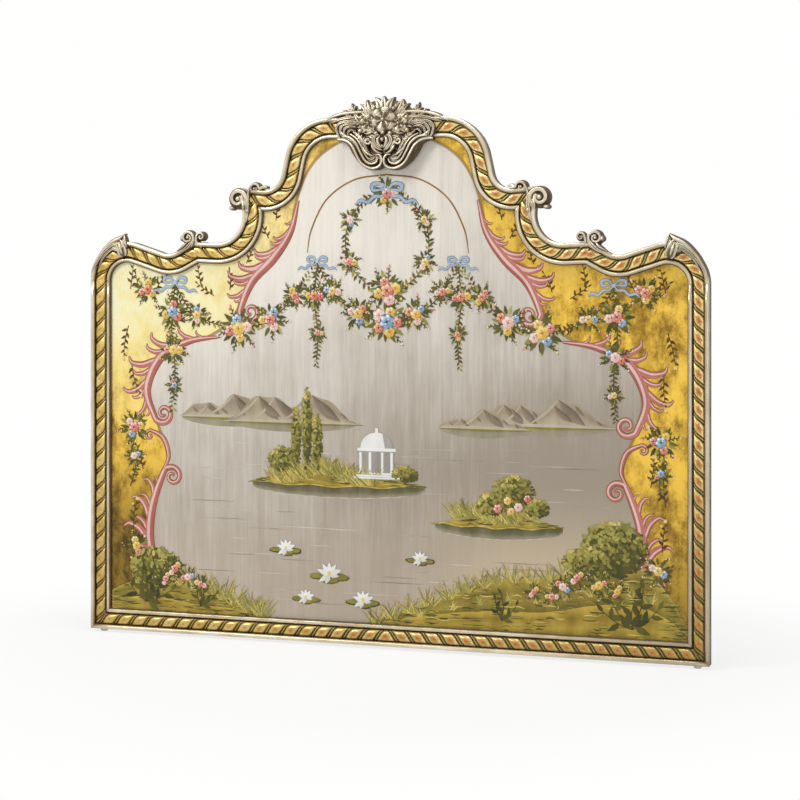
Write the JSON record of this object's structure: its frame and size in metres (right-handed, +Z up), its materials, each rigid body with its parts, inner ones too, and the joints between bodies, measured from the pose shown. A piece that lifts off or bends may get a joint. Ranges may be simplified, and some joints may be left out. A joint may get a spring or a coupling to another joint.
{
  "type": "arched wall mirror",
  "caption": "Wide arched wall mirror: silvered, painted plate in a carved silver and gilt frame with a crest, rolled scrolls and shoulder leaves, hung by swinging rings on its back.",
  "frame": {"origin": "middle of the overall box, on the plane that the two glides stand on", "axes": "+X to the right as seen from the front, +Y from the front to the wall, +Z up"},
  "size_m": [1.8, 0.075, 1.5232],
  "materials": {
    "silvered_wood": "carved wood under silver leaf, with a warm brown glaze in the hollows",
    "gilded_wood": "carved wood under gold leaf, picked out in green and orange-red",
    "silvered_plate": "plate with silver leaf, gilded margins and a painted landscape, under a clear varnish",
    "felt": "pressed felt sheet",
    "backing": "plain brown board",
    "plain_wood": "bare hardwood",
    "steel": "zinc plated steel",
    "bumper_rubber": "soft black rubber"
  },
  "bodies": {
    "frame": {"bottom_rail": "silvered_wood", "left_stile": "silvered_wood", "right_stile": "silvered_wood", "left_shoulder_rail": "silvered_wood", "right_shoulder_rail": "silvered_wood", "left_haunch_rail": "silvered_wood", "right_haunch_rail": "silvered_wood", "crown_rail": "silvered_wood", "left_bottom_rope": "gilded_wood", "right_bottom_rope": "gilded_wood", "left_stile_rope": "gilded_wood", "right_stile_rope": "gilded_wood", "left_shoulder_rope": "gilded_wood", "right_shoulder_rope": "gilded_wood", "left_haunch_rope": "gilded_wood", "right_haunch_rope": "gilded_wood", "left_crown_rope": "gilded_wood", "right_crown_rope": "gilded_wood", "left_upper_scroll": "silvered_wood", "right_upper_scroll": "silvered_wood", "left_lower_scroll": "silvered_wood", "right_lower_scroll": "silvered_wood", "left_shoulder_leaf": "silvered_wood", "right_shoulder_leaf": "silvered_wood", "crest_body": "silvered_wood", "crest_leaves": "silvered_wood", "crest_flowers": "silvered_wood", "left_crest_lobe": "silvered_wood", "right_crest_lobe": "silvered_wood", "left_crest_wing": "silvered_wood", "right_crest_wing": "silvered_wood", "plate": "silvered_plate", "plate_packing": "felt", "backing_board": "backing", "joint_tongues": "plain_wood", "board_clips": "steel", "left_hanger": "steel", "right_hanger": "steel", "left_glide": "steel", "right_glide": "steel", "wall_bumpers": "bumper_rubber"},
    "left_ring": {"left_hanger_ring": "steel"},
    "right_ring": {"right_hanger_ring": "steel"}
  },
  "joints": [
    {"name": "left_ring_swing", "type": "hinge", "parent": "frame", "child": "left_ring", "pos_m": [-0.874, 0.0325, 0.94], "axis": [1, 0, 0], "range_deg": [0, 180]},
    {"name": "right_ring_swing", "type": "hinge", "parent": "frame", "child": "right_ring", "pos_m": [0.874, 0.0325, 0.94], "axis": [1, 0, 0], "range_deg": [0, 180]}
  ]
}
